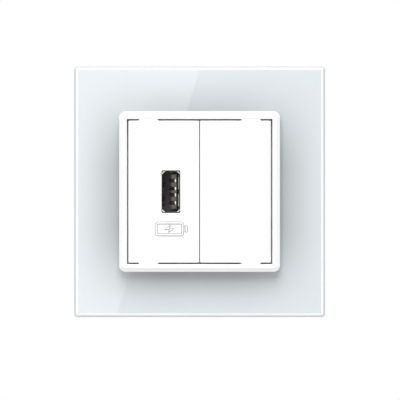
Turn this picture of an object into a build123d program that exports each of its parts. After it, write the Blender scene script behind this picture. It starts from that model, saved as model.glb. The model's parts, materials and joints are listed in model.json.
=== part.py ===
from build123d import *

import os

# A square wall socket with a glass panel. A raised bezel holds two half-width inserts, one with a
# charging port and one blank. Behind the port is a housing with the charger board and two screw
# terminals for the mains wires. The origin is on the wall at the panel's centre, X runs to the
# right, Y into the wall and Z up. All sizes are in millimetres.

# Glass panel
panel_size = 80.0
glass_thickness = 4.0
glass_corner_radius = 1.2
glass_bevel = 1.1
glass_arris = 0.3

# Inserts, seen in the bezel's window
insert_width = 22.4
insert_height = 45.0
insert_gap = 0.3
window_gap = 0.5
insert_thickness = 2.0
insert_recess = 0.1
insert_corner_radius = 0.4
insert_edge_chamfer = 0.15
insert_rim = 1.0
insert_rim_depth = 3.0
blank_rib = 1.0
blank_rib_depth = 2.5
blank_rib_spacing = 11.0

# Catches at the top and bottom of each insert
catch_width = 5.9
catch_offset = 4.9
catch_land_clearance = 0.05
catch_reach = 4.6
catch_barb_length = 2.6
catch_barb_height = 1.2
catch_clearance = 0.3

# Bezel and its tube
bezel_border = 2.45
bezel_rise = 4.6
bezel_corner_radius = 2.0
bezel_chamfer = 1.3
bezel_edge_round = 0.3
tube_wall = 1.4
tube_corner_radius = 1.2
tube_clearance = 0.3
ledge_width = 0.95
ledge_depth = 1.2
crossbar_width = 2.0
hook_width = 5.0
hook_spacing = 20.0
hook_slit = 0.8
hook_free_length = 5.0
hook_barb_height = 0.9
hook_barb_length = 1.8
hook_clearance = 0.25

# Carrier and the adhesive ring in front of it
carrier_inset = 1.5
carrier_wall = 1.6
carrier_floor = 1.6
carrier_corner_radius = 2.0
carrier_pad = 4.0
carrier_pad_height = 0.8
carrier_pad_offset = 16.0
carrier_rib = 1.0
carrier_notch_width = 8.0
carrier_notch_depth = 1.2
head_pocket_margin = 2.2
head_pocket_width = 9.0
tape_thickness = 0.5
tape_margin = 2.5
tape_width = 6.0

# Steel bracket on the wall
bracket_thickness = 1.2
bracket_clearance = 0.9
bracket_corner_chamfer = 6.0
box_slot_width = 4.2
box_slot_outer_margin = 1.7
box_slot_inner_margin = 2.7
bracket_tab_width = 24.0
bracket_tab_depth = 4.0
bracket_bend_radius = 0.6
bracket_relief = 0.8

# Charging port, set off the insert's centre
port_offset = 2.25
port_clearance = 0.08
port_corner_radius = 0.4
port_recess = 0.15
sleeve_width = 12.5
sleeve_height = 5.12
sleeve_wall = 0.25
sleeve_depth = 13.6
sleeve_corner_radius = 0.9
flare_depth = 0.45
flare_side = 0.34
flare_end = 0.42
flare_lip = 0.05
spring_width = 3.8
spring_length = 5.0
spring_cut = 0.3
spring_setback = 0.9
spring_spacing = 5.4
spring_bow = 0.42
spring_tip = 2.6
spring_tip_bow = 0.15
sleeve_leg_width = 1.6
sleeve_leg_setback = 9.8
solder_length = 0.8

# Tongue and contacts of the port
tongue_width = 11.1
tongue_thickness = 1.84
tongue_setback = 1.2
tongue_tip_chamfer = 0.25
insulator_depth = 2.8
insulator_clearance = 0.05
insulator_setback = 0.2
contact_places = (3.5, 1.0, -1.0, -3.5)
contact_width = 1.0
contact_thickness = 0.35
contact_exit_setback = 0.5
contact_bulge = 0.4
contact_bulge_setback = 4.4
contact_tip_setback = 0.1
contact_tip_length = 0.8
contact_exit = 0.45
contact_leg_gap = 0.5
groove_width = 1.2
groove_floor = 0.24

# Housing behind the port's insert
housing_depth = 39.1
housing_wall = 1.2
housing_clearance = 0.1
housing_corner_radius = 1.2
ear_width = 6.4
ear_thickness = 1.6
ear_root = 1.0
ear_bar = 1.2
ear_clearance = 0.2
latch_width = 3.6
latch_thickness = 1.1
latch_flex = 0.8
latch_gap = 0.2
latch_barb_height = 0.9
latch_barb_length = 1.4
latch_barb_gap = 0.05

# Charger board
board_thickness = 1.6
board_front_gap = 1.2
board_rear_gap = 0.4
board_edge_gap = 0.3
rail_width = 1.0
rail_height = 0.9
rail_clearance = 0.1
lead_side = 0.6
lead_clearance = 0.1

# Transformer
core_length = 10.9
core_width = 10.2
core_thickness = 4.75
core_leg = 2.5
core_outer_leg = 1.25
core_yoke = 1.6
core_joint = 0.1
transformer_gap = 1.2
bobbin_wall = 0.5
bobbin_flange = 0.7
bobbin_height = 8.0
bobbin_clearance = 0.1
winding_inset = 0.35
winding_corner_chamfer = 1.2
pin_pitch = 2.0
pin_count = 3
pin_seat = 1.0

# Capacitors, fuse and small parts on the board
bulk_radius = 3.15
bulk_length = 11.0
bulk_front_gap = 1.4
bulk_lead_length = 0.9
bulk_lead_pitch = 2.5
bulk_spacing = 14.0
output_can_radius = 3.15
output_can_height = 8.0
output_can_depth = 4.0
output_can_pitch = 2.5
disc_radius = 3.5
disc_thickness = 3.0
disc_lift = 0.7
disc_pitch = 5.0
disc_setback = 8.2
fuse_radius = 1.5
fuse_length = 5.6
fuse_setback = 2.6
fuse_lead_gap = 0.7
bridge_size = (4.7, 3.8, 2.4)
bridge_setback = 5.2
chip_size = (4.9, 3.9, 1.5)
chip_depth = 22.0
chip_pins = 4
chip_pin_pitch = 1.27
diode_size = (4.3, 2.6, 2.1)
leg_reach = 0.9
leg_width = 0.45
leg_thickness = 0.2

# Screw terminals at the rear of the housing
block_height = 10.4
block_wall = 1.2
block_floor = 2.0
block_peg_size = 1.8
block_peg_clearance = 0.05
terminal_spacing = 10.0
clamp_height = 5.0
clamp_side = 0.9
clamp_front = 0.9
clamp_back = 1.8
clamp_travel = 3.0
clamp_clearance = 0.2
clamp_end_clearance = 0.3
clamp_edge_chamfer = 0.4
wire_space = 3.2
wire_funnel = 0.5
strip_width = 3.6
strip_thickness = 0.8
strip_tail = 1.6
strip_clearance = 0.1
strip_back_gap = 0.2
strip_side_gap = 0.3
strip_end_gap = 0.3
line_tail_height = 2.8
neutral_tail_height = 5.4
screw_radius = 1.5
screw_tip_gap = 0.05
screw_head_radius = 2.6
screw_head_height = 1.8
screw_head_gap = 0.1
screw_head_chamfer = 0.3
screw_hole_gap = 0.2
clamp_hole_gap = 0.05
recess_width = 0.7
recess_length = 3.4
recess_depth = 1.0
well_lip = 1.0
well_depth = 2.6
well_gap = 0.3

# Depths from the wall, the room being on the minus side
bracket_front = -bracket_thickness
floor_back = bracket_front - carrier_pad_height
floor_front = floor_back - carrier_floor
glass_back = floor_front - tape_thickness
glass_front = glass_back - glass_thickness
bezel_front = glass_front - bezel_rise
insert_front = bezel_front + insert_recess
insert_back = insert_front + insert_thickness
rim_back = insert_back + insert_rim_depth
catch_back = rim_back + catch_reach
barb_front = catch_back - catch_barb_length

# Window, bezel and the openings round the tube
insert_x = (insert_width + insert_gap) / 2
window_width = 2 * insert_width + insert_gap + 2 * window_gap
window_height = insert_height + 2 * window_gap
bezel_width = window_width + 2 * bezel_border
bezel_height = window_height + 2 * bezel_border
tube_width = window_width + 2 * tube_wall
tube_height = window_height + 2 * tube_wall
opening_width = tube_width + 2 * tube_clearance
opening_height = tube_height + 2 * tube_clearance
opening_radius = tube_corner_radius + tube_clearance
carrier_size = panel_size - 2 * carrier_inset
bracket_size = carrier_size - 2 * carrier_wall - 2 * bracket_clearance
slot_outer = bracket_size / 2 - box_slot_outer_margin
slot_inner = window_height / 2 + box_slot_inner_margin
slot_middle = (slot_outer + slot_inner) / 2
slot_length = slot_outer - slot_inner

# Port
port_x = port_offset - insert_x
mouth_front = insert_front + port_recess
sleeve_back = mouth_front + sleeve_depth
sleeve_outer_width = sleeve_width + 2 * sleeve_wall
sleeve_outer_height = sleeve_height + 2 * sleeve_wall
tongue_front = mouth_front + tongue_setback
insulator_back = sleeve_back - insulator_setback
insulator_front = insulator_back - insulator_depth
contact_leg_y = sleeve_back + contact_leg_gap
sleeve_leg_y = mouth_front + sleeve_leg_setback

# Housing and board, the board's face carrying the port's sleeve
housing_x = -insert_x
housing_width = insert_width - 2 * insert_rim - 2 * housing_clearance
ear_height = ear_root + latch_flex + latch_thickness + latch_gap + ear_bar
housing_height = insert_height - 2 * (insert_rim + ear_clearance + ear_height)
housing_back = insert_back + housing_depth
housing_left = housing_x - housing_width / 2
housing_right = housing_x + housing_width / 2
housing_top = housing_height / 2
ear_back = rim_back + ear_thickness
ear_slot_in = housing_top + ear_root
ear_slot_out = housing_top + ear_height - ear_bar
latch_out = ear_slot_out - latch_gap
latch_in = latch_out - latch_thickness
board_face = port_x - sleeve_outer_height / 2
board_back = board_face - board_thickness
board_front_y = insert_back + board_front_gap
board_rear_y = housing_back - housing_wall - board_rear_gap
board_top = housing_top - housing_wall - board_edge_gap
solder_end = board_back - solder_length

# Terminals
clamp_width = strip_width + 2 * strip_side_gap + 2 * clamp_side
clamp_depth = clamp_front + wire_space + strip_thickness + strip_back_gap + clamp_back
chamber_depth = clamp_depth + clamp_travel + 2 * clamp_end_clearance
block_front = housing_back - well_depth - well_lip - chamber_depth - block_wall
block_bottom = -housing_top
block_top = block_bottom + block_height
chamber_front = block_front + block_wall
chamber_back = chamber_front + chamber_depth
clamp_front_y = chamber_front + clamp_end_clearance
wire_y = clamp_front_y + clamp_front + wire_space / 2
strip_front = clamp_front_y + clamp_front + wire_space
strip_back = strip_front + strip_thickness
chamber_bottom = block_bottom + block_floor
clamp_bottom = chamber_bottom + clamp_clearance
terminal_x = (housing_x - terminal_spacing / 2, housing_x + terminal_spacing / 2)
tail_heights = (block_top + line_tail_height, block_top + neutral_tail_height)

# Rows of the board, clear of the port and of the step over the terminals
board_step_y = block_front - housing_wall - board_rear_gap
transformer_front = contact_leg_y + transformer_gap
core_x = board_face + bobbin_height / 2
bulk_z = (sleeve_outer_width / 2 + board_top) / 2
lower_z = -bulk_z
output_can_y = board_front_y + output_can_depth
bridge_y = board_step_y - bridge_setback
diode_y = (output_can_y + bridge_y - bridge_size[0] / 2) / 2


def slab(width, height, back, front, at=(0, 0), radius=0):
    """A plate that faces the room, between two depths."""
    outline = RectangleRounded(width, height, radius) if radius else Rectangle(width, height)
    return extrude(Plane.XZ.offset(-back) * Pos(at[0], at[1]) * outline, back - front)


def block(x, y, z):
    """A box between two values along each axis."""
    middle = [(low + high) / 2 for low, high in (x, y, z)]
    size = [abs(high - low) for low, high in (x, y, z)]
    return Pos(*middle) * Box(*size)


def rod(radius, start, end):
    """A round bar from one point to another."""
    axis = Vector(*end) - Vector(*start)
    return extrude(Plane(origin=tuple(start), z_dir=axis) * Circle(radius), axis.length)


def lead(*points, side=lead_side):
    """A square wire along the axes from point to point."""
    wire = Part()
    for start, end in zip(points, points[1:]):
        wire += block(*[(min(pair) - side / 2, max(pair) + side / 2) for pair in zip(start, end)])
    return wire


def profile_bar(points, middle, width):
    """A bar along X with an outline of depths and heights."""
    outline = make_face(Plane.YZ.offset(middle - width / 2) * Polyline(*points, close=True))
    return extrude(outline, width, dir=(1, 0, 0))


def edges_at(shape, depth):
    """The edges of a shape that lie at one depth."""
    return shape.edges().filter_by_position(Axis.Y, depth - 0.001, depth + 0.001)


def span(middle, size):
    return (middle - size / 2, middle + size / 2)


# Panel and wall side

def make_glass_panel():
    glass = slab(panel_size, panel_size, glass_back, glass_front, radius=glass_corner_radius)
    glass = chamfer(edges_at(glass, glass_front), glass_bevel)
    glass = chamfer(edges_at(glass, glass_back), glass_arris)
    return glass - slab(opening_width, opening_height, glass_back, glass_front, radius=opening_radius)


def make_panel_tape():
    outer = carrier_size - 2 * tape_margin
    hole = outer - 2 * tape_width
    return slab(outer, outer, floor_front, glass_back) - slab(hole, hole, floor_front, glass_back)


def make_panel_carrier():
    inner = carrier_size - 2 * carrier_wall
    tray = slab(carrier_size, carrier_size, 0, floor_front, radius=carrier_corner_radius)
    tray -= slab(inner, inner, 0, floor_back)
    # A low collar stiffens the edge of the opening.
    collar_width = opening_width + 2 * carrier_rib
    collar_height = opening_height + 2 * carrier_rib
    tray += slab(collar_width, collar_height, bracket_front, floor_back)
    tray -= slab(opening_width, opening_height, bracket_front, floor_front, radius=opening_radius)
    # Pads rest on the bracket, and the floor is open over the heads of the box screws.
    for turn in range(4):
        for along in (-carrier_pad_offset, carrier_pad_offset):
            pad = slab(carrier_pad, carrier_pad, bracket_front, floor_back, (along, slot_middle))
            tray += Rot(0, 90 * turn, 0) * pad
        pocket_z = (slot_inner - head_pocket_margin, slot_outer + head_pocket_margin)
        pocket_x = span(0, head_pocket_width)
        pocket = block(pocket_x, (floor_front, floor_back), pocket_z)
        pocket += block(pocket_x, (floor_back, bracket_front), (pocket_z[0], slot_middle))
        tray -= Rot(0, 90 * turn, 0) * pocket
    # A notch below takes the tip of a screwdriver to lift the panel off.
    edge = -carrier_size / 2
    notch_z = (edge, edge + carrier_wall)
    return tray - block(span(0, carrier_notch_width), (-carrier_notch_depth, 0), notch_z)


def make_mounting_bracket():
    plate = slab(bracket_size, bracket_size, 0, bracket_front)
    plate = chamfer(plate.edges().filter_by(Axis.Y), bracket_corner_chamfer)
    plate -= slab(window_width, window_height, 0, bracket_front)
    reach = window_height / 2
    bend = bracket_bend_radius + bracket_thickness
    for end in (-1, 1):
        # The edge of the opening is folded back behind the wall plane, with a relief at each end.
        tab_z = (end * reach, end * (reach + bracket_thickness))
        plate += block(span(0, bracket_tab_width), (bracket_front, bracket_tab_depth), tab_z)
        for side in (-1, 1):
            relief_x = span(side * (bracket_tab_width + bracket_relief) / 2, bracket_relief)
            plate -= block(relief_x, (bracket_front, 0), (end * reach, end * (reach + bend)))
        folds = plate.edges().filter_by(Axis.X).filter_by_position(Axis.X, -1, 1)
        inside = folds.sort_by_distance((0, 0, tab_z[1]))[0]
        plate = fillet(inside, bracket_bend_radius)
        folds = plate.edges().filter_by(Axis.X).filter_by_position(Axis.X, -1, 1)
        outside = folds.sort_by_distance((0, bracket_front, tab_z[0]))[0]
        plate = fillet(outside, bend)
        slot = SlotOverall(slot_length, box_slot_width)
        across = Pos(end * slot_middle, 0) * slot
        upright = Pos(0, end * slot_middle) * Rot(0, 0, 90) * slot
        plate -= extrude(Plane.XZ * across, bracket_thickness)
        plate -= extrude(Plane.XZ * upright, bracket_thickness)
        for side in (-1, 1):
            notch_x = (side * window_width / 2, side * (window_width / 2 + tube_wall + hook_clearance))
            notch_z = span(end * hook_spacing / 2, hook_width + 2 * hook_clearance)
            plate -= block(notch_x, (bracket_front, 0), notch_z)
    return plate


# Bezel and inserts

def make_bezel():
    frame = slab(bezel_width, bezel_height, glass_front, bezel_front, radius=bezel_corner_radius)
    frame = chamfer(edges_at(frame, bezel_front), bezel_chamfer)
    frame += slab(tube_width, tube_height, bracket_front, glass_front, radius=tube_corner_radius)
    frame -= slab(window_width, window_height, bracket_front, bezel_front)
    frame = fillet(edges_at(frame, bezel_front), bezel_edge_round)
    # The rims of the inserts rest on a ledge round the window and on a crossbar between them.
    ledge_back = rim_back + ledge_depth
    inside = (window_width - 2 * ledge_width, window_height - 2 * ledge_width)
    frame += slab(window_width, window_height, ledge_back, rim_back) - slab(*inside, ledge_back, rim_back)
    frame += slab(crossbar_width, window_height, ledge_back, rim_back)
    wall_in = window_width / 2
    wall_out = wall_in + tube_wall
    for side in (-1, 1):
        for end in (-1, 1):
            hook_z = end * hook_spacing / 2
            frame = frame + make_hook(side, hook_z)
            slit_y = (bracket_front - hook_free_length, bracket_front)
            for edge in (-1, 1):
                slit_z = span(hook_z + edge * (hook_width + hook_slit) / 2, hook_slit)
                frame -= block((side * wall_in, side * wall_out), slit_y, slit_z)
            opening_x = span(side * (insert_x + catch_offset), catch_width + 2 * catch_clearance)
            opening_y = (barb_front - insert_recess, catch_back + catch_clearance)
            opening_z = (end * window_height / 2, end * (window_height / 2 + tube_wall))
            frame -= block(opening_x, opening_y, opening_z)
            gate_z = (end * (window_height / 2 - ledge_width), end * window_height / 2)
            frame -= block(opening_x, (rim_back, ledge_back), gate_z)
    return frame


def make_hook(side, middle):
    """A spring hook that grips the bracket from behind."""
    wall_in = side * window_width / 2
    wall_out = wall_in + side * tube_wall
    tip = hook_clearance + hook_barb_length
    outline = Polyline(
        (wall_in, bracket_front),
        (wall_out, bracket_front),
        (wall_out, hook_clearance),
        (wall_out + side * hook_barb_height, hook_clearance),
        (wall_out, tip),
        (wall_in, tip),
        close=True,
    )
    return extrude(Pos(0, 0, middle - hook_width / 2) * make_face(outline), hook_width, dir=(0, 0, 1))


def make_insert(side):
    """One insert with its rim and two catches, not yet opened for a port."""
    middle = (side * insert_x, 0)
    size = (insert_width, insert_height)
    plate = slab(*size, insert_back, insert_front, middle, insert_corner_radius)
    plate = chamfer(edges_at(plate, insert_front), insert_edge_chamfer)
    rim = slab(*size, rim_back, insert_back, middle, insert_corner_radius)
    rim -= slab(insert_width - 2 * insert_rim, insert_height - 2 * insert_rim, rim_back, insert_back, middle)
    plate += rim
    edge = insert_height / 2
    land_edge = edge + window_gap - catch_land_clearance
    barb_edge = edge + catch_barb_height
    for end in (-1, 1):
        outline = (
            (insert_front, end * (edge - insert_rim)),
            (catch_back, end * (edge - insert_rim)),
            (catch_back, end * edge),
            (barb_front, end * barb_edge),
            (barb_front, end * edge),
            (insert_back, end * edge),
            (insert_back, end * land_edge),
            (insert_front, end * land_edge),
        )
        plate += profile_bar(outline, side * (insert_x + catch_offset), catch_width)
    return plate


def make_blank_face_plate():
    plate = make_insert(1)
    rib_y = (insert_back, insert_back + blank_rib_depth)
    side_x = span(insert_x, insert_width - insert_rim)
    for place in (-blank_rib_spacing, 0, blank_rib_spacing):
        plate += block(side_x, rib_y, span(place, blank_rib))
    return plate + block(span(insert_x, blank_rib), rib_y, span(0, insert_height - insert_rim))


def make_usb_face_plate():
    plate = make_insert(-1)
    width = sleeve_height + 2 * (flare_side + flare_lip) + port_clearance
    height = sleeve_width + 2 * (flare_end + flare_lip) + port_clearance
    plate -= slab(width, height, insert_back, insert_front, (port_x, 0), port_corner_radius)
    # Two latches hold the housing by its ears.
    barb_front = ear_back + latch_barb_gap
    latch_back = barb_front + latch_barb_length
    for end in (-1, 1):
        outline = (
            (insert_back, end * latch_in),
            (latch_back, end * latch_in),
            (latch_back, end * latch_out),
            (barb_front, end * (latch_out + latch_barb_height)),
            (barb_front, end * latch_out),
            (insert_back, end * latch_out),
        )
        plate += profile_bar(outline, housing_x, latch_width)
    return plate


# Charging port

def sleeve_outline(depth, side_grow, end_grow):
    """The flare's cross-section at one depth, grown from the sleeve's inside."""
    width = sleeve_height + 2 * side_grow
    height = sleeve_width + 2 * end_grow
    return Plane.XZ.offset(-depth) * Pos(port_x, 0) * Rectangle(width, height)


def make_usb_shell():
    flare_back = mouth_front + flare_depth
    inner_radius = sleeve_corner_radius - sleeve_wall
    place = (port_x, 0)
    outer_size = (sleeve_outer_height, sleeve_outer_width)
    outer = slab(*outer_size, sleeve_back, flare_back, place, sleeve_corner_radius)
    inner = slab(sleeve_height, sleeve_width, sleeve_back, flare_back, place, inner_radius)
    # The mouth opens out into four thinned flaps, and the corners between them are cut away.
    flare = loft([
        sleeve_outline(flare_back, sleeve_wall, sleeve_wall),
        sleeve_outline(mouth_front, flare_side + flare_lip, flare_end + flare_lip),
    ])
    flare -= loft([
        sleeve_outline(flare_back, 0, 0),
        sleeve_outline(mouth_front, flare_side, flare_end),
    ])
    sleeve = outer - inner
    corner_x = sleeve_outer_height / 2 - sleeve_corner_radius
    corner_z = sleeve_outer_width / 2 - sleeve_corner_radius
    for side in (-1, 1):
        for end in (-1, 1):
            corner = (port_x + side * corner_x, mouth_front, end * corner_z)
            far = (corner[0] + side * sleeve_height, flare_back, corner[2] + end * sleeve_height)
            flare -= block(*zip(corner, far))
            sleeve = add_spring(sleeve, side, end * spring_spacing / 2)
            leg_z = (end * sleeve_width / 2, end * sleeve_outer_width / 2)
            if side < 0:
                leg_x = (solder_end, port_x - corner_x)
                sleeve += block(leg_x, span(sleeve_leg_y, sleeve_leg_width), leg_z)
    return sleeve + flare


def add_spring(sleeve, side, middle):
    """A spring finger in the sleeve's broad wall, bent inwards from its root near the mouth."""
    wall = (port_x + side * sleeve_height / 2, port_x + side * sleeve_outer_height / 2)
    wall_middle = (wall[0] + wall[1]) / 2
    front = mouth_front + spring_setback
    back = front + spring_length
    window = block(wall, (front, back + spring_cut), span(middle, spring_width + 2 * spring_cut))
    path = Polyline(
        (wall_middle, front - spring_cut),
        (wall_middle, front),
        (wall_middle - side * spring_bow, back - spring_tip),
        (wall_middle - side * spring_tip_bow, back),
    )
    finger = extrude(trace(path, sleeve_wall), spring_width, dir=(0, 0, 1))
    return sleeve - window + Pos(0, 0, middle - spring_width / 2) * finger


def contact_path():
    """The middle line of a contact, from its tip in the tongue to its leg in the board."""
    tip_x = port_x + tongue_thickness - groove_floor - contact_thickness / 2
    tip_y = tongue_front + contact_tip_setback
    return Polyline(
        (tip_x, tip_y),
        (tip_x, tip_y + contact_tip_length),
        (port_x - contact_bulge, tongue_front + contact_bulge_setback),
        (port_x + contact_exit, insulator_front - contact_exit_setback),
        (port_x + contact_exit, contact_leg_y),
        (solder_end, contact_leg_y),
    )


def contact_strip(place, thickness, width):
    return Pos(0, 0, place - width / 2) * extrude(trace(contact_path(), thickness), width, dir=(0, 0, 1))


def make_usb_tongue():
    back_width = sleeve_width - 2 * insulator_clearance
    back_height = sleeve_height - 2 * insulator_clearance
    corner = sleeve_corner_radius - sleeve_wall
    body = slab(back_height, back_width, insulator_back, insulator_front, (port_x, 0), corner)
    tongue_x = (port_x, port_x + tongue_thickness)
    tongue = block(tongue_x, (tongue_front, insulator_front), span(0, tongue_width))
    body += chamfer(edges_at(tongue, tongue_front), tongue_tip_chamfer)
    groove_x = (port_x, port_x + tongue_thickness - groove_floor)
    slot_x = span(port_x + contact_exit, contact_thickness + 2 * insulator_clearance)
    slot_width = contact_width + 2 * insulator_clearance
    for place in contact_places:
        body -= block(groove_x, (tongue_front, insulator_front), span(place, groove_width))
        body -= block(slot_x, (insulator_front, insulator_back), span(place, slot_width))
    return body


# Housing, board and its components

def make_usb_housing():
    size = (housing_width, housing_height)
    inner_size = (housing_width - 2 * housing_wall, housing_height - 2 * housing_wall)
    box = slab(*size, housing_back, insert_back, (housing_x, 0), housing_corner_radius)
    box -= block((housing_left, housing_right), (block_front, housing_back), (block_bottom, block_top))
    cavity = slab(*inner_size, housing_back - housing_wall, insert_back, (housing_x, 0))
    step_y = (block_front - housing_wall, housing_back)
    cavity -= block((housing_left, housing_right), step_y, (block_bottom, block_top + housing_wall))
    box -= cavity
    inner_top = inner_size[1] / 2
    rail_rear = block_front - housing_wall
    for end in (-1, 1):
        # Rails guide the board, and ears take the latches.
        for face, way in ((board_face, 1), (board_back, -1)):
            rail_x = (face + way * rail_clearance, face + way * (rail_clearance + rail_width))
            rail_z = (end * inner_top, end * (inner_top - rail_height))
            box += block(rail_x, (board_front_y, rail_rear), rail_z)
        ear_y = (rim_back, ear_back)
        ear_z = (end * housing_top, end * (housing_top + ear_height))
        box += block(span(housing_x, ear_width), ear_y, ear_z)
        slot_z = (end * ear_slot_in, end * ear_slot_out)
        box -= block(span(housing_x, latch_width + 2 * latch_gap), ear_y, slot_z)
    for middle in terminal_x:
        box -= strip_slot(middle, block_top, block_top + housing_wall)
    return box - block_peg(block_peg_size + 2 * block_peg_clearance)


def bulk_rear(number):
    """Depth of the sealed end of one of the two input capacitors."""
    return board_front_y + bulk_front_gap + bulk_length + number * bulk_spacing


def lead_places():
    """Depth and height of every wire that passes through the board."""
    places = []
    for number in range(2):
        for way in (-0.5, 0.5):
            places.append((bulk_rear(number) + bulk_lead_length, bulk_z + way * bulk_lead_pitch))
    for way in (-0.5, 0.5):
        places.append((output_can_y, lower_z + way * output_can_pitch))
        places.append((board_step_y - disc_setback, lower_z + way * disc_pitch))
        places.append((board_step_y - fuse_setback, lower_z + way * (fuse_length + 2 * fuse_lead_gap)))
    return places + pin_places()


def pin_places():
    """Depth and height of the transformer's pins, in a row under each flange."""
    places = []
    inset = core_yoke + bobbin_clearance + bobbin_flange / 2
    for depth in (transformer_front + inset, transformer_front + core_length - inset):
        for number in range(pin_count):
            places.append((depth, (number - (pin_count - 1) / 2) * pin_pitch))
    return places


def make_charger_board():
    thick = (board_back, board_face)
    board = block(thick, (board_front_y, board_rear_y), (-board_top, board_top))
    step_z = block_top + housing_wall + board_edge_gap
    board -= block(thick, (board_step_y, board_rear_y), (-board_top, step_z))
    for depth, height in lead_places():
        hole = lead_side + 2 * lead_clearance
        board -= lead((board_back, depth, height), (board_face, depth, height), side=hole)
    for place in contact_places:
        slot_y = span(contact_leg_y, contact_thickness + 2 * strip_clearance)
        board -= block(thick, slot_y, span(place, contact_width + 2 * strip_clearance))
    for end in (-1, 1):
        middle = end * (sleeve_width + sleeve_wall) / 2
        slot_y = span(sleeve_leg_y, sleeve_leg_width + 2 * strip_clearance)
        board -= block(thick, slot_y, span(middle, sleeve_wall + 2 * strip_clearance))
    for height in tail_heights:
        slot_y = (strip_front - strip_clearance, strip_back + strip_clearance)
        board -= block(thick, slot_y, span(height, strip_tail + 2 * strip_clearance))
    return board


def make_transformer_core():
    x = span(core_x, core_thickness)
    middle = transformer_front + core_length / 2
    halves = []
    for start, stop, yoke in (
        (transformer_front, middle - core_joint / 2, transformer_front),
        (middle + core_joint / 2, transformer_front + core_length, transformer_front + core_length),
    ):
        half = block(x, (start, stop), span(0, core_width))
        inside = sorted((yoke + core_yoke, stop)) if yoke == start else sorted((start, yoke - core_yoke))
        for end in (-1, 1):
            half -= block(x, inside, (end * core_leg / 2, end * (core_width / 2 - core_outer_leg)))
        halves.append(half)
    return Compound(halves)


def bobbin_span():
    """Depths between the yokes that the bobbin fills."""
    inset = core_yoke + bobbin_clearance
    return transformer_front + inset, transformer_front + core_length - inset


def bobbin_hole():
    """Height and width of the bobbin's hole for the core's middle leg."""
    return core_thickness + 2 * bobbin_clearance, core_leg + 2 * bobbin_clearance


def make_transformer_bobbin():
    front, back = bobbin_span()
    hole_x, hole_z = bobbin_hole()
    flange_z = core_width - 2 * core_outer_leg - 2 * bobbin_clearance
    body = slab(hole_x + 2 * bobbin_wall, hole_z + 2 * bobbin_wall, back, front, (core_x, 0))
    for low, high in ((front, front + bobbin_flange), (back - bobbin_flange, back)):
        body += block((board_face, board_face + bobbin_height), (low, high), span(0, flange_z))
    body -= slab(hole_x, hole_z, back, front, (core_x, 0))
    for depth, height in pin_places():
        body -= lead((board_face, depth, height), (board_face + pin_seat, depth, height))
    return body


def make_transformer_winding():
    front, back = bobbin_span()
    front += bobbin_flange
    back -= bobbin_flange
    hole_x, hole_z = bobbin_hole()
    outer_x = bobbin_height - 2 * winding_inset
    outer_z = core_width - 2 * core_outer_leg - 2 * bobbin_clearance - 2 * winding_inset
    coil = slab(outer_x, outer_z, back, front, (core_x, 0))
    coil = chamfer(coil.edges().filter_by(Axis.Y), winding_corner_chamfer)
    return coil - slab(hole_x + 2 * bobbin_wall, hole_z + 2 * bobbin_wall, back, front, (core_x, 0))


def make_transformer_pins():
    pins = []
    for depth, height in pin_places():
        pins.append(lead((solder_end, depth, height), (board_face + pin_seat, depth, height)))
    return Compound(pins)


def make_input_capacitor(number):
    rear = bulk_rear(number)
    front = rear - bulk_length
    middle_x = board_face + bulk_radius
    can = rod(bulk_radius, (middle_x, front, bulk_z), (middle_x, rear, bulk_z))
    bend = rear + bulk_lead_length
    for way in (-0.5, 0.5):
        z = bulk_z + way * bulk_lead_pitch
        can += lead((middle_x, rear, z), (middle_x, bend, z), (solder_end, bend, z))
    return can


def make_output_capacitor():
    top = board_face + output_can_height
    can = rod(output_can_radius, (board_face, output_can_y, lower_z), (top, output_can_y, lower_z))
    for way in (-0.5, 0.5):
        z = lower_z + way * output_can_pitch
        can += lead((board_face, output_can_y, z), (solder_end, output_can_y, z))
    return can


def make_safety_capacitor():
    middle_x = board_face + disc_lift + disc_radius
    depth = board_step_y - disc_setback
    front, back = span(depth, disc_thickness)
    disc = rod(disc_radius, (middle_x, front, lower_z), (middle_x, back, lower_z))
    for way in (-0.5, 0.5):
        z = lower_z + way * disc_pitch
        disc += lead((middle_x, depth, z), (solder_end, depth, z))
    return disc


def make_fuse():
    middle_x = board_face + fuse_radius
    depth = board_step_y - fuse_setback
    low, high = span(lower_z, fuse_length)
    body = rod(fuse_radius, (middle_x, depth, low), (middle_x, depth, high))
    for start, way in ((low, -1), (high, 1)):
        bend = start + way * fuse_lead_gap
        body += lead((middle_x, depth, start), (middle_x, depth, bend), (solder_end, depth, bend))
    return body


def surface_part(size, depth, height, leg_places):
    """A moulded part on the board's back with flat legs above and below."""
    width, length, rise = size
    body = block((board_back - rise, board_back), span(depth, width), span(height, length))
    body = chamfer(body.faces().sort_by(Axis.X)[0].edges(), leg_thickness)
    for place in leg_places:
        leg_z = span(height, length + 2 * leg_reach)
        body += block((board_back - leg_thickness, board_back), span(depth + place, leg_width), leg_z)
    return body


def make_bridge_rectifier():
    places = (-bridge_size[0] / 4, bridge_size[0] / 4)
    return surface_part(bridge_size, bridge_y, lower_z, places)


def make_controller_chip():
    places = [(number - (chip_pins - 1) / 2) * chip_pin_pitch for number in range(chip_pins)]
    return surface_part(chip_size, board_front_y + chip_depth, bulk_z, places)


def make_output_diode():
    return surface_part(diode_size, diode_y, lower_z, (0,))


# Screw terminals

def block_peg(size):
    """The square peg that locates the terminal block on the housing."""
    middle = (block_bottom + block_top) / 2
    return block(span(housing_x, size), (block_front - housing_wall, block_front), span(middle, size))


def strip_slot(middle, low, high):
    width = strip_width + 2 * strip_clearance
    depth = (strip_front - strip_clearance, strip_back + strip_clearance)
    return block(span(middle, width), depth, (low, high))


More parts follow.
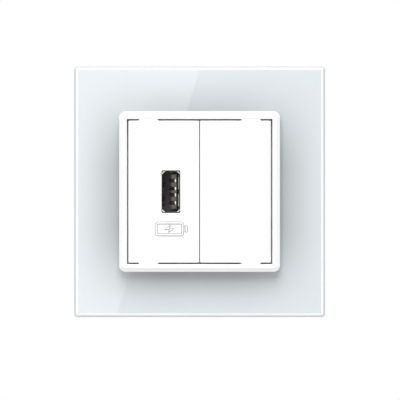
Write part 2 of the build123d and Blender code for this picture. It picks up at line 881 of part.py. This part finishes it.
def make_terminal_block():
    body = block((housing_left, housing_right), (block_front, housing_back), (block_bottom, block_top))
    lower = body.edges().filter_by(Axis.Y).group_by(Axis.Z)[0]
    body = fillet(lower, housing_corner_radius)
    chamber_top = clamp_bottom + clamp_height + clamp_clearance
    for middle in terminal_x:
        chamber_x = span(middle, clamp_width + 2 * clamp_clearance)
        body -= block(chamber_x, (chamber_front, chamber_back), (chamber_bottom, chamber_top))
        body -= strip_slot(middle, chamber_top, block_top)
        z = clamp_bottom + clamp_height / 2
        floor = chamber_back + well_lip
        body -= rod(screw_radius + screw_hole_gap, (middle, chamber_back, z), (middle, floor, z))
        body -= rod(screw_head_radius + well_gap, (middle, floor, z), (middle, housing_back, z))
        # The wire enters from below through a hole with a funnel.
        entry = Pos(middle, wire_y, block_bottom) * Circle(wire_space / 2 + wire_funnel)
        throat = Pos(middle, wire_y, block_bottom + wire_funnel) * Circle(wire_space / 2)
        body -= loft([entry, throat])
        body -= rod(wire_space / 2, (middle, wire_y, block_bottom), (middle, wire_y, chamber_bottom))
    return body + block_peg(block_peg_size)


def make_strip(number):
    """A flat stamped contact from a terminal's chamber to a slot in the board."""
    middle = terminal_x[number]
    tail = tail_heights[number]
    depth = (strip_front, strip_back)
    leg_x = span(middle, strip_width)
    tail_z = span(tail, strip_tail)
    leg = block(leg_x, depth, (chamber_bottom + strip_end_gap, tail_z[1]))
    far = board_face + solder_length if middle < board_back else solder_end
    return leg + block(sorted((middle, far)), depth, tail_z)


def make_clamp(number):
    """The cage that the screw draws back to pinch the wire on the strip."""
    middle = terminal_x[number]
    y = (clamp_front_y, clamp_front_y + clamp_depth)
    z = (clamp_bottom, clamp_bottom + clamp_height)
    cage = block(span(middle, clamp_width), y, z)
    cage = chamfer(cage.edges().filter_by(Axis.Z), clamp_edge_chamfer)
    cage -= block(span(middle, clamp_width - 2 * clamp_side), (y[0] + clamp_front, y[1] - clamp_back), z)
    centre = (z[0] + z[1]) / 2
    hole = screw_radius + clamp_hole_gap
    return cage - rod(hole, (middle, y[1] - clamp_back, centre), (middle, y[1], centre))


def make_terminal_screw(number):
    middle = terminal_x[number]
    z = clamp_bottom + clamp_height / 2
    tip = strip_back + screw_tip_gap
    seat = chamber_back + well_lip + screw_head_gap
    top = seat + screw_head_height
    shank = rod(screw_radius, (middle, tip, z), (middle, seat, z))
    head = rod(screw_head_radius, (middle, seat, z), (middle, top, z))
    head = chamfer(edges_at(head, top), screw_head_chamfer)
    for turn in (0, 90):
        recess = Box(recess_length, 2 * recess_depth, recess_width)
        head -= Pos(middle, top, z) * Rot(0, turn, 0) * recess
    return shank + head


pieces = {
    "glass_panel": make_glass_panel(),
    "panel_tape": make_panel_tape(),
    "panel_carrier": make_panel_carrier(),
    "mounting_bracket": make_mounting_bracket(),
    "bezel": make_bezel(),
    "usb_face_plate": make_usb_face_plate(),
    "blank_face_plate": make_blank_face_plate(),
    "usb_shell": make_usb_shell(),
    "usb_tongue": make_usb_tongue(),
    "usb_housing": make_usb_housing(),
    "charger_board": make_charger_board(),
    "transformer_core": make_transformer_core(),
    "transformer_bobbin": make_transformer_bobbin(),
    "transformer_winding": make_transformer_winding(),
    "transformer_pins": make_transformer_pins(),
    "input_capacitor_front": make_input_capacitor(0),
    "input_capacitor_rear": make_input_capacitor(1),
    "output_capacitor": make_output_capacitor(),
    "safety_capacitor": make_safety_capacitor(),
    "fuse": make_fuse(),
    "bridge_rectifier": make_bridge_rectifier(),
    "controller_chip": make_controller_chip(),
    "output_diode": make_output_diode(),
    "terminal_block": make_terminal_block(),
}
for number, place in enumerate(contact_places):
    pieces[f"usb_contact_{number + 1}"] = contact_strip(place, contact_thickness, contact_width)
for number, name in enumerate(("line", "neutral")):
    pieces[f"{name}_strip"] = make_strip(number)
    pieces[f"{name}_clamp"] = make_clamp(number)
    pieces[f"{name}_screw"] = make_terminal_screw(number)

os.makedirs("parts", exist_ok=True)
for name, shape in pieces.items():
    export_step(shape, f"parts/{name}.step")
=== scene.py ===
import json
import math

import bmesh
import bpy
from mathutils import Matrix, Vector


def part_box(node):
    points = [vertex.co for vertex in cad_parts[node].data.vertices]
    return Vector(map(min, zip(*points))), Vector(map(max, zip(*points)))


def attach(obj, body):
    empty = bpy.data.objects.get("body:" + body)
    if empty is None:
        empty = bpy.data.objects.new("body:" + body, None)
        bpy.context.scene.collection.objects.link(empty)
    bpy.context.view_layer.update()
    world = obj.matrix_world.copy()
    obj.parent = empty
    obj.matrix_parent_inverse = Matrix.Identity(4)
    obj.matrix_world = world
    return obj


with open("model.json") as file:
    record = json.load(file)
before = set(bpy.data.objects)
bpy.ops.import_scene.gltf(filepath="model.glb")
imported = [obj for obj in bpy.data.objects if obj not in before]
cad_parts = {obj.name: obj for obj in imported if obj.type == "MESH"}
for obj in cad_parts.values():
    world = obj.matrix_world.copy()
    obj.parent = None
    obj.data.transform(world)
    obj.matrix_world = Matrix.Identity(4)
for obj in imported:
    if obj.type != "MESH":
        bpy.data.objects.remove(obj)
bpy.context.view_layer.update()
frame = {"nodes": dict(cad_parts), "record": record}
nodes = frame["nodes"]
mm = 0.001
print("frame loaded with", len(nodes), "nodes")


# Shader maths as plain expressions: one wire is one socket of a node tree.
class Wire:
    def __init__(self, tree, socket=None):
        self.tree = tree
        self.socket = socket

    # Adds any node: its settings come first, then the values or links of its sockets.
    def add(self, kind, settings=None, inputs=None, output=0):
        node = self.tree.nodes.new("ShaderNode" + kind)
        for key, value in (settings or {}).items():
            setattr(node, key, value)
        for key, value in (inputs or {}).items():
            socket = node.inputs[key]
            if isinstance(value, Wire):
                self.tree.links.new(value.socket, socket)
            elif socket.type == "RGBA":
                socket.default_value = (*value, 1.0)
            else:
                socket.default_value = value
        return Wire(self.tree, node.outputs[output] if node.outputs else None)

    def maths(self, operation, first, second):
        return self.add("Math", {"operation": operation}, {0: first, 1: second})

    def __add__(self, other):
        return self.maths("ADD", self, other)

    def __radd__(self, other):
        return self.maths("ADD", other, self)

    def __sub__(self, other):
        return self.maths("SUBTRACT", self, other)

    def __rsub__(self, other):
        return self.maths("SUBTRACT", other, self)

    def __mul__(self, other):
        return self.maths("MULTIPLY", self, other)

    def __rmul__(self, other):
        return self.maths("MULTIPLY", other, self)

    def __abs__(self):
        return self.maths("ABSOLUTE", self, 0.0)

    def larger(self, other):
        return self.maths("MAXIMUM", self, other)

    # 0 below low, 1 above high, with soft ends
    def rise(self, low, high):
        ends = {"Value": self, "From Min": low, "From Max": high}
        return self.add("MapRange", {"interpolation_type": "SMOOTHSTEP"}, ends)

    # this wire as the mask between two colours, which are sockets 6 and 7 of the Mix node
    def blend(self, first, second):
        return self.add("Mix", {"data_type": "RGBA"}, {0: self, 6: first, 7: second}, 2)


def newMaterial(name):
    material = bpy.data.materials.new(name)
    material.use_nodes = True
    material.node_tree.nodes.clear()
    return material, Wire(material.node_tree)


def closeMaterial(wire, sockets):
    shader = wire.add("BsdfPrincipled", None, sockets)
    wire.add("OutputMaterial", None, {"Surface": shader})


def place(wire):
    return wire.add("TexCoord", None, None, "Object")


# one of the three coordinates of a place
def along(wire, axis, spot):
    return wire.add("SeparateXYZ", None, {"Vector": spot}, axis)


# soft noise in the piece's own space, with the size of its grains in metres
def grain(wire, size, detail=2.0, stretch=(1.0, 1.0, 1.0)):
    spot = wire.add("Mapping", None, {"Vector": place(wire), "Scale": stretch})
    noise = {"Vector": spot, "Scale": 1 / size, "Detail": detail}
    return wire.add("TexNoise", None, noise, "Fac")


def bump(wire, height, depth):
    relief = {"Height": height, "Distance": depth, "Strength": 1.0}
    return wire.add("Bump", None, relief, "Normal")


def tinted(colour, factor):
    return tuple(min(1.0, channel * factor) for channel in colour)


def paint(material, name):
    for slot in nodes[name].material_slots:
        slot.material = material


# Glass panel: white backing seen through polished glass, with a painted highlight along the ground
# bevel.
# The backing lies deep under the glass, so less light gets to it close to the bezel: a painted
# shadow in its colour stands for this.
glass = {
    "tint": (0.61, 0.651, 0.675),
    "cloud": 0.985,  # shade of the faint clouds in the backing
    "cloudSize": 30 * mm,
    "cloudEdge": (0.3, 0.7),
    # the painted shadow round the bezel: its depth, reach, shift and growth
    "shade": 0.87,
    "shadeReach": 17.5 * mm,
    "shadeShift": (-0.7 * mm, -2.0 * mm),  # to the right and up
    "shadeGrow": (1.2 * mm, -1.0 * mm),  # past the bezel, across and upright
    "rimColour": (0.60, 0.605, 0.62),
    "rimWidth": 0.6 * mm,
    # painted highlight: the near-white colour of the ground bevel
    "bevelHighlight": (0.97, 0.99, 1.0),
    "highlightEnd": 1.2 * mm,
    "soft": 0.12 * mm,
    "roughness": 0.35,
    "cloudRoughness": 0.1,
    "coatRoughness": 0.003,
    "coatBend": 1.52,
}


def makeGlass():
    material, wire = newMaterial("panel_glass")
    low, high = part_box("glass_panel")
    axes = [along(wire, axis, place(wire)) for axis in ("X", "Z")]
    inset = (high[0] - low[0]) / 2 - abs(axes[0]).larger(abs(axes[1]))
    cloud = grain(wire, glass["cloudSize"]).rise(*glass["cloudEdge"])
    clear = cloud.blend(glass["tint"], tinted(glass["tint"], glass["cloud"]))
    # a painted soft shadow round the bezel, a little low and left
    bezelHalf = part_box("bezel")[1]
    halves = (bezelHalf[0] + glass["shadeGrow"][0], bezelHalf[2] + glass["shadeGrow"][1])
    shade, reach = glass["shade"], glass["shadeReach"]
    for axis, half, shift in zip(axes, halves, glass["shadeShift"]):
        shade = shade * (1 - abs(axis - shift).rise(half - reach, half + reach))
    face = shade.blend(clear, (0.0, 0.0, 0.0))
    soft = glass["soft"]
    # a painted highlight on the ground bevel, then a grey rim at the very edge
    highlightEnd = inset.rise(glass["highlightEnd"] - soft, glass["highlightEnd"] + soft)
    highlighted = highlightEnd.blend(glass["bevelHighlight"], face)
    rimEnd = inset.rise(glass["rimWidth"] - soft, glass["rimWidth"] + soft)
    closeMaterial(wire, {
        "Base Color": rimEnd.blend(glass["rimColour"], highlighted),
        "Roughness": glass["roughness"] + glass["cloudRoughness"] * cloud,
        "Coat Weight": 1.0,
        "Coat Roughness": glass["coatRoughness"],
        "Coat IOR": glass["coatBend"],
    })
    return material


# White gloss of the bezel and the two inserts
gloss = {
    "colour": (0.90, 0.90, 0.895),
    "peelSize": 1.6 * mm,
    "peelDepth": 0.004 * mm,
    "peelEdge": (0.3, 0.7),
    "peelShade": 0.992,
    "roughness": 0.22,
    "peelRoughness": 0.05,
    "coat": 0.25,
    "coatRoughness": 0.05,
}


def makeWhiteGloss():
    material, wire = newMaterial("white_gloss_plastic")
    peel = grain(wire, gloss["peelSize"])
    mottle = peel.rise(*gloss["peelEdge"])
    closeMaterial(wire, {
        "Base Color": mottle.blend(gloss["colour"], tinted(gloss["colour"], gloss["peelShade"])),
        "Roughness": gloss["roughness"] + gloss["peelRoughness"] * peel,
        "Coat Weight": gloss["coat"],
        "Coat Roughness": gloss["coatRoughness"],
        "Normal": bump(wire, peel, gloss["peelDepth"]),
    })
    return material


# Moulded plastics and tapes: worn says how much lighter the rubbed grains are
plastics = {
    "carrier_plastic": {
        "colour": (0.70, 0.71, 0.71), "worn": 1.05,
        "grain": 0.25 * mm, "depth": 0.012 * mm, "roughness": 0.48,
    },
    "housing_plastic": {
        "colour": (0.045, 0.046, 0.05), "worn": 1.5,
        "grain": 0.2 * mm, "depth": 0.015 * mm, "roughness": 0.5,
    },
    "port_plastic": {
        "colour": (0.06, 0.058, 0.055), "worn": 1.3,
        "grain": 0.3 * mm, "depth": 0.006 * mm, "roughness": 0.42,
    },
    "bobbin_plastic": {
        "colour": (0.02, 0.02, 0.021), "worn": 1.4,
        "grain": 0.3 * mm, "depth": 0.01 * mm, "roughness": 0.45,
    },
    "package_resin": {
        "colour": (0.018, 0.018, 0.02), "worn": 1.6,
        "grain": 0.12 * mm, "depth": 0.008 * mm, "roughness": 0.6,
    },
    "terminal_plastic": {
        "colour": (0.16, 0.165, 0.17), "worn": 1.25,
        "grain": 0.25 * mm, "depth": 0.012 * mm, "roughness": 0.5,
    },
    "adhesive_tape": {
        "colour": (0.80, 0.80, 0.77), "worn": 1.06,
        "grain": 0.15 * mm, "depth": 0.04 * mm, "roughness": 0.85,
    },
    "winding_tape": {
        "colour": (0.70, 0.44, 0.02), "worn": 1.15,
        "grain": 0.8 * mm, "depth": 0.02 * mm, "roughness": 0.35,
    },
}
# what all of them share: large rubbed patches under the fine grain
moulding = {
    "detail": 3.0,
    "fineShare": 0.5,
    "patchSize": 9 * mm,
    "patchEdge": (0.35, 0.7),
    "roughnessRange": 0.1,
}


def makeMoulded(name):
    spec = plastics[name]
    material, wire = newMaterial(name)
    fine = grain(wire, spec["grain"], moulding["detail"])
    patch = grain(wire, moulding["patchSize"]).rise(*moulding["patchEdge"])
    wear = moulding["fineShare"] * fine + (1 - moulding["fineShare"]) * patch
    spread = moulding["roughnessRange"]
    closeMaterial(wire, {
        "Base Color": wear.blend(spec["colour"], tinted(spec["colour"], spec["worn"])),
        "Roughness": spec["roughness"] - spread / 2 + spread * fine,
        "Normal": bump(wire, fine, spec["depth"]),
    })
    return material


# Dipped and sleeved components, with a slow ripple in the coat
lacquers = {
    "disc_lacquer": {
        "colour": (0.015, 0.05, 0.24), "light": 1.4,
        "ripple": 1.4 * mm, "depth": 0.05 * mm, "roughness": 0.22,
    },
    "fuse_lacquer": {
        "colour": (0.09, 0.17, 0.09), "light": 1.3,
        "ripple": 1.0 * mm, "depth": 0.03 * mm, "roughness": 0.28,
    },
    "capacitor_sleeve": {
        "colour": (0.012, 0.016, 0.03), "light": 1.8,
        "ripple": 2.0 * mm, "depth": 0.02 * mm, "roughness": 0.3,
    },
}
dipping = {
    "rippleEdge": (0.35, 0.75),
    "rippleRoughness": 0.1,
    "coat": 0.4,
}


def makeLacquer(name):
    spec = lacquers[name]
    material, wire = newMaterial(name)
    ripple = grain(wire, spec["ripple"])
    crest = ripple.rise(*dipping["rippleEdge"])
    closeMaterial(wire, {
        "Base Color": crest.blend(spec["colour"], tinted(spec["colour"], spec["light"])),
        "Roughness": spec["roughness"] + dipping["rippleRoughness"] * ripple,
        "Coat Weight": dipping["coat"],
        "Normal": bump(wire, ripple, spec["depth"]),
    })
    return material


# Metals: fine drawn lines along the axis with the small number, and dull spots from hands and tools
metals = {
    "contact_gold": {
        "colour": (0.88, 0.80, 0.66), "dull": 0.9,
        "lines": (1.0, 0.1, 1.0), "roughness": 0.24,
    },
    "tinned_wire": {
        "colour": (0.68, 0.68, 0.67), "dull": 0.8,
        "lines": (0.1, 1.0, 1.0), "roughness": 0.32,
    },
    "terminal_brass": {
        "colour": (0.72, 0.52, 0.22), "dull": 0.75,
        "lines": (1.0, 1.0, 0.1), "roughness": 0.3,
    },
    "screw_steel": {
        "colour": (0.62, 0.61, 0.56), "dull": 0.7,
        "lines": (1.0, 0.15, 1.0), "roughness": 0.3,
    },
}
drawing = {
    "lineSize": 0.12 * mm,
    "lineDetail": 3.0,
    "lineDepth": 0.004 * mm,
    "lineRoughness": 0.08,
    "dullSize": 2.5 * mm,
    "dullDetail": 4.0,
    "dullEdge": (0.4, 0.75),
    "dullRoughness": 0.12,
}


def makeMetal(name):
    spec = metals[name]
    material, wire = newMaterial(name)
    lines = grain(wire, drawing["lineSize"], drawing["lineDetail"], spec["lines"])
    dull = grain(wire, drawing["dullSize"], drawing["dullDetail"]).rise(*drawing["dullEdge"])
    worn = spec["roughness"] + drawing["dullRoughness"] * dull
    closeMaterial(wire, {
        "Base Color": dull.blend(spec["colour"], tinted(spec["colour"], spec["dull"])),
        "Metallic": 1.0,
        "Roughness": worn + drawing["lineRoughness"] * lines,
        "Normal": bump(wire, lines, drawing["lineDepth"]),
    })
    return material


# Sleeve of the port: nickel with the flaps at the mouth painted dark as painted shade, and dull tin
# on the wall at the right
sleeve = {
    # painted shade: the flaps' near-black colour stands for the dark interior they mirror
    "flap": (0.09, 0.088, 0.085),
    "bright": (0.84, 0.825, 0.80),
    "tin": (0.84, 0.82, 0.78),
    "flapDepth": (0.36 * mm, 0.43 * mm),
    "tinFrom": (1.9 * mm, 2.1 * mm),
    "roughness": (0.12, 0.28, 0.5),  # bright wall, flaps, tin
    "tinMetallic": 0.15,
    "lineSize": 0.12 * mm,
    "lineDetail": 3.0,
    "lines": (1.0, 0.08, 1.0),
    "lineDepth": 0.003 * mm,
    "lineRoughness": 0.05,
}


def makeSleeve():
    material, wire = newMaterial("port_steel")
    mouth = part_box("usb_shell")[0][1]
    low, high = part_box("usb_tongue")
    spot = place(wire)
    depth = along(wire, "Y", spot) - mouth
    side = along(wire, "X", spot) - (low[0] + high[0]) / 2
    inside = depth.rise(*sleeve["flapDepth"])
    tinned = inside * side.rise(*sleeve["tinFrom"])
    lines = grain(wire, sleeve["lineSize"], sleeve["lineDetail"], sleeve["lines"])
    bright, flap, tin = sleeve["roughness"]
    worn = flap + (bright - flap) * inside + (tin - bright) * tinned
    closeMaterial(wire, {
        "Base Color": tinned.blend(inside.blend(sleeve["flap"], sleeve["bright"]), sleeve["tin"]),
        "Metallic": 1.0 - (1.0 - sleeve["tinMetallic"]) * tinned,
        "Roughness": worn + sleeve["lineRoughness"] * lines,
        "Normal": bump(wire, lines, sleeve["lineDepth"]),
    })
    return material


# Galvanised bracket: flat zinc crystals of slightly different shades
zinc = {
    "light": (0.66, 0.68, 0.69),
    "dark": (0.50, 0.52, 0.54),
    "crystal": 4.5 * mm,
    "scuffSize": 0.4 * mm,
    "scuffDetail": 4.0,
    "scuffDepth": 0.006 * mm,
    "roughness": 0.34,
    "crystalRoughness": 0.14,
    "scuffRoughness": 0.06,
}


def makeZinc():
    material, wire = newMaterial("galvanised_steel")
    cells = {"Vector": place(wire), "Scale": 1 / zinc["crystal"], "Randomness": 1.0}
    crystal = wire.add("TexVoronoi", {"feature": "F1"}, cells, "Color")
    tone = wire.add("SeparateColor", None, {"Color": crystal}, "Red")
    scuff = grain(wire, zinc["scuffSize"], zinc["scuffDetail"])
    worn = zinc["roughness"] + zinc["crystalRoughness"] * tone
    closeMaterial(wire, {
        "Base Color": tone.blend(zinc["dark"], zinc["light"]),
        "Metallic": 1.0,
        "Roughness": worn + zinc["scuffRoughness"] * scuff,
        "Normal": bump(wire, scuff, zinc["scuffDepth"]),
    })
    return material


# Ferrite core: dark sintered grains with small ground chips
ferrite = {
    "colour": (0.03, 0.03, 0.033),
    "chip": (0.10, 0.10, 0.105),
    "chipEdge": (0.5, 0.75),
    "grain": 0.3 * mm,
    "detail": 5.0,
    "depth": 0.02 * mm,
    "roughness": 0.55,
    "grainRoughness": 0.2,
}


def makeFerrite():
    material, wire = newMaterial("ferrite")
    grains = grain(wire, ferrite["grain"], ferrite["detail"])
    chips = grains.rise(*ferrite["chipEdge"])
    closeMaterial(wire, {
        "Base Color": chips.blend(ferrite["colour"], ferrite["chip"]),
        "Roughness": ferrite["roughness"] + ferrite["grainRoughness"] * grains,
        "Normal": bump(wire, grains, ferrite["depth"]),
    })
    return material


# Charger board: green mask over copper lanes, with the glass weave faintly showing
board = {
    "mask": (0.012, 0.10, 0.035),
    "lane": (0.03, 0.20, 0.06),
    "lanePitch": 2.6 * mm,
    "laneBend": 1.5,
    "laneEdge": (0.45, 0.5),
    "weave": 0.5 * mm,
    "weaveShare": 0.15,
    "depth": 0.03 * mm,
    "roughness": 0.32,
    "weaveRoughness": 0.08,
}


# evenly spaced bands, with the pitch in metres
def bands(wire, settings, spot, pitch, **more):
    return wire.add("TexWave", settings, {"Vector": spot, "Scale": 0.5 / pitch, **more}, "Fac")


def makeBoard():
    material, wire = newMaterial("board_laminate")
    spot = place(wire)
    across = {"bands_direction": "Z", "wave_profile": "TRI"}
    copper = bands(wire, across, spot, board["lanePitch"], Distortion=board["laneBend"], Detail=0.0)
    lane = copper.rise(*board["laneEdge"])
    weave = bands(wire, {"bands_direction": "Y"}, spot, board["weave"])
    closeMaterial(wire, {
        "Base Color": lane.blend(board["mask"], board["lane"]),
        "Roughness": board["roughness"] + board["weaveRoughness"] * weave,
        "Normal": bump(wire, lane + board["weaveShare"] * weave, board["depth"]),
    })
    return material


finishes = {"panel_glass": makeGlass(), "white_gloss_plastic": makeWhiteGloss()}
for make, rows in ((makeMoulded, plastics), (makeLacquer, lacquers), (makeMetal, metals)):
    finishes.update({name: make(name) for name in rows})
finishes["port_steel"] = makeSleeve()
finishes["galvanised_steel"] = makeZinc()
finishes["ferrite"] = makeFerrite()
finishes["board_laminate"] = makeBoard()
for part in frame["record"]["subparts"]:
    paint(finishes[part["material_slot"]], part["node"])
print("finishes on every node:", len(finishes))


# Raised charging sign below the port: a battery outline, its end and a bolt, all a little proud
sign = {
    "middle": (-9.55 * mm, -11.8 * mm),
    "width": 9.3 * mm,
    "height": 4.6 * mm,
    "corner": 1.0 * mm,
    "cornerSteps": 8,
    "line": 0.85 * mm,
    "endSize": (0.95 * mm, 2.2 * mm),
    "endGap": 0.2 * mm,
    "endCorner": 0.95 * mm / 3,
    "boltSize": (3.4 * mm, 2.6 * mm),
    "boltShape": (
        (0.12, 0.5), (-0.5, -0.1), (-0.03, -0.1), (-0.12, -0.5), (0.5, 0.1), (0.03, 0.1),
    ),
    "proud": 0.35 * mm,
    "sunk": 0.1 * mm,
    "slope": 0.24 * mm,
    "boltSlope": 0.19 * mm,
    # painted shade on the slopes of the raised shapes
    "slopeShade": (0.2, 0.2, 0.205),
    "slopeShadeEnd": (0.75, 0.98),  # as shares of the height
}


# the insert's white gloss, greyer down the slopes of the raised shapes as painted shade
def makeSignGloss():
    material, wire = newMaterial("sign_gloss")
    height = -1 * along(wire, "Y", place(wire))
    top = height.rise(*(share * sign["proud"] for share in sign["slopeShadeEnd"]))
    peel = grain(wire, gloss["peelSize"])
    closeMaterial(wire, {
        "Base Color": top.blend(sign["slopeShade"], gloss["colour"]),
        "Roughness": gloss["roughness"] + gloss["peelRoughness"] * peel,
        "Coat Weight": gloss["coat"],
        "Coat Roughness": gloss["coatRoughness"],
    })
    return material


signGloss = makeSignGloss()


# a rectangle with round corners, drawn inwards by the inset
def roundedRing(width, height, corner, inset):
    width, height, corner = width - 2 * inset, height - 2 * inset, corner - inset
    steps = sign["cornerSteps"]
    points = []
    for quarter in range(4):
        right = 1 if quarter in (0, 3) else -1
        up = 1 if quarter in (0, 1) else -1
        for step in range(steps + 1):
            angle = (quarter + step / steps) * math.pi / 2
            x = right * (width / 2 - corner) + corner * math.cos(angle)
            z = up * (height / 2 - corner) + corner * math.sin(angle)
            points.append((x, z))
    return points


# an outline moved inwards by one distance all round
def shrunk(outline, distance):
    corners = [Vector(point) for point in outline]
    moved = []
    for number, here in enumerate(corners):
        before = (here - corners[number - 1]).normalized()
        after = (corners[(number + 1) % len(corners)] - here).normalized()
        inward = Vector((-before.y, before.x)) + Vector((-after.y, after.x))
        moved.append(tuple(here + inward * distance / (1 + before.dot(after))))
    return moved


# a raised shape on the insert from rings of equal length, each with its height over the face
def raisedShape(name, rings, hollow=False):
    count = len(rings[0][0])
    points = [(x, -height, z) for outline, height in rings for x, z in outline]
    faces = []
    for ring in range(len(rings) if hollow else len(rings) - 1):
        after = (ring + 1) % len(rings) * count
        for spot in range(count):
            turn = (spot + 1) % count
            faces.append((ring * count + spot, ring * count + turn, after + turn, after + spot))
    if not hollow:
        faces += [tuple(range(count)), tuple(range(len(points) - count, len(points)))]
    mesh = bpy.data.meshes.new(name)
    mesh.from_pydata(points, [], faces)
    work = bmesh.new()
    work.from_mesh(mesh)
    bmesh.ops.recalc_face_normals(work, faces=work.faces)
    work.to_mesh(mesh)
    work.free()
    mesh.materials.append(signGloss)
    piece = bpy.data.objects.new(name, mesh)
    bpy.context.collection.objects.link(piece)
    piece.location = (sign["middle"][0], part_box("usb_face_plate")[0][1], sign["middle"][1])
    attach(piece, "socket")


# the rings of a shape that rises from its outline to a smaller top
def slopedRings(outline, top):
    return [(outline, -sign["sunk"]), (outline, 0.0), (top, sign["proud"])]


def makeSign():
    width, height, line, slope = sign["width"], sign["height"], sign["line"], sign["slope"]
    insets = (0.0, slope, line - slope, line)
    rings = [roundedRing(width, height, sign["corner"], inset) for inset in insets]
    outer, inner = slopedRings(*rings[:2]), slopedRings(*rings[:1:-1])
    raisedShape("battery_outline", outer + inner[::-1], hollow=True)
    endWidth = sign["endSize"][0]
    endX = width / 2 + sign["endGap"] + endWidth / 2
    ends = []
    for inset in (0.0, slope):
        ring = roundedRing(*sign["endSize"], sign["endCorner"], inset)
        ends.append([(x + endX, z) for x, z in ring])
    raisedShape("battery_end", slopedRings(*ends))
    boltWidth, boltHeight = sign["boltSize"]
    bolt = [(x * boltWidth, z * boltHeight) for x, z in sign["boltShape"]]
    raisedShape("charging_bolt", slopedRings(bolt, shrunk(bolt, sign["boltSlope"])))


makeSign()
print("charging sign raised on the insert")


# Floor: a pale disc under the object that fades out at its rim, too low to show from the front
floor = {
    "radius": 0.55,
    "fade": (0.12, 0.5),
    "height": -0.12,
    "colour": (0.86, 0.86, 0.855),
    "sides": 96,
    "speckSize": 20 * mm,
    "speckShade": 0.98,
    "roughness": 0.7,
    "speckRoughness": 0.1,
}


def makeFloor():
    radius, sides = floor["radius"], floor["sides"]
    corners = []
    for step in range(sides):
        angle = 2 * math.pi * step / sides
        corners.append((radius * math.cos(angle), radius * math.sin(angle), floor["height"]))
    mesh = bpy.data.meshes.new("floor")
    mesh.from_pydata(corners, [], [tuple(range(sides))])
    disc = bpy.data.objects.new("floor", mesh)
    bpy.context.collection.objects.link(disc)
    material, wire = newMaterial("pale_floor")
    speck = grain(wire, floor["speckSize"])
    fromMiddle = wire.add("VectorMath", {"operation": "LENGTH"}, {0: place(wire)}, "Value")
    closeMaterial(wire, {
        "Base Color": speck.blend(floor["colour"], tinted(floor["colour"], floor["speckShade"])),
        "Roughness": floor["roughness"] + floor["speckRoughness"] * speck,
        "Alpha": 1 - fromMiddle.rise(*floor["fade"]),
    })
    mesh.materials.append(material)


# Light: a pale room that is brighter above, a large panel above and a soft box at the left
light = {
    "colour": (1.0, 1.0, 1.0),
    "backdrop": 1.0,
    "roomLow": 0.51,
    "roomHigh": 0.59,
    "roomRise": (-0.35, 0.75),
    "topPlace": (-0.02, -0.9, 1.0),
    "topAim": (0, 0, 0),
    "topSize": (0.85, 0.85),
    "topPower": 15.3,
    "boxDepth": -1.5,
    "boxSize": (0.5, 1.6),
    "boxPower": 3.6,
    "boxEdgeX": -33.9 * mm,
    "boxEdgeZ": 4.2 * mm,
    "boxLean": 18.9,
}


def makeRoom():
    world = bpy.data.worlds.new("room")
    bpy.context.scene.world = world
    world.use_nodes = True
    world.node_tree.nodes.clear()
    wire = Wire(world.node_tree)
    height = along(wire, "Z", wire.add("TexCoord", None, None, "Generated"))
    rise = height.rise(*light["roomRise"])
    glow = light["roomLow"] + (light["roomHigh"] - light["roomLow"]) * rise
    room = wire.add("Background", None, {"Color": light["colour"], "Strength": glow})
    plain = {"Color": light["colour"], "Strength": light["backdrop"]}
    backdrop = wire.add("Background", None, plain)
    seen = wire.add("LightPath", None, None, "Is Camera Ray")
    surround = wire.add("MixShader", None, {0: seen, 1: room, 2: backdrop})
    wire.add("OutputWorld", None, {"Surface": surround})


def addPanel(name, spot, target, power, size, lean=0.0):
    lamp = bpy.data.lights.new(name, "AREA")
    lamp.shape = "RECTANGLE"
    lamp.size, lamp.size_y = size
    lamp.energy = power
    panel = bpy.data.objects.new(name, lamp)
    bpy.context.collection.objects.link(panel)
    panel.location = spot
    aim = Vector(target) - Vector(spot)
    panel.rotation_euler = aim.to_track_quat("-Z", "Y").to_euler()
    panel.rotation_euler.rotate_axis("Z", lean)
    panel.visible_camera = False


def makeLight():
    makeRoom()
    addPanel("top_panel", light["topPlace"], light["topAim"], light["topPower"], light["topSize"])
    # The box's right edge leans, and the glass mirrors it as a slanted line.
    lean = math.radians(light["boxLean"])
    half = light["boxSize"][0] / 2
    spotX = light["boxEdgeX"] - half * math.cos(lean)
    spotZ = light["boxEdgeZ"] + half * math.sin(lean)
    spot = (spotX, light["boxDepth"], spotZ)
    addPanel("left_box", spot, (spotX, 0, spotZ), light["boxPower"], light["boxSize"], -lean)


# Camera: straight at the front, a little below the middle
view = {
    "middle": (0.12 * mm, -2.65 * mm),
    "distance": 950 * mm,
    "width": 127.34 * mm,
    "sensor": 36.0,
}


def makeCamera():
    lens = bpy.data.cameras.new("camera")
    lens.sensor_width = view["sensor"]
    lens.lens = view["sensor"] * view["distance"] / view["width"]
    camera = bpy.data.objects.new("camera", lens)
    bpy.context.collection.objects.link(camera)
    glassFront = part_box("glass_panel")[0][1]
    camera.location = (view["middle"][0], glassFront - view["distance"], view["middle"][1])
    camera.rotation_euler = (math.pi / 2, 0, 0)
    bpy.context.scene.camera = camera


makeFloor()
makeLight()
makeCamera()
bpy.context.scene.view_settings.view_transform = "Standard"
print("floor, light and camera placed")
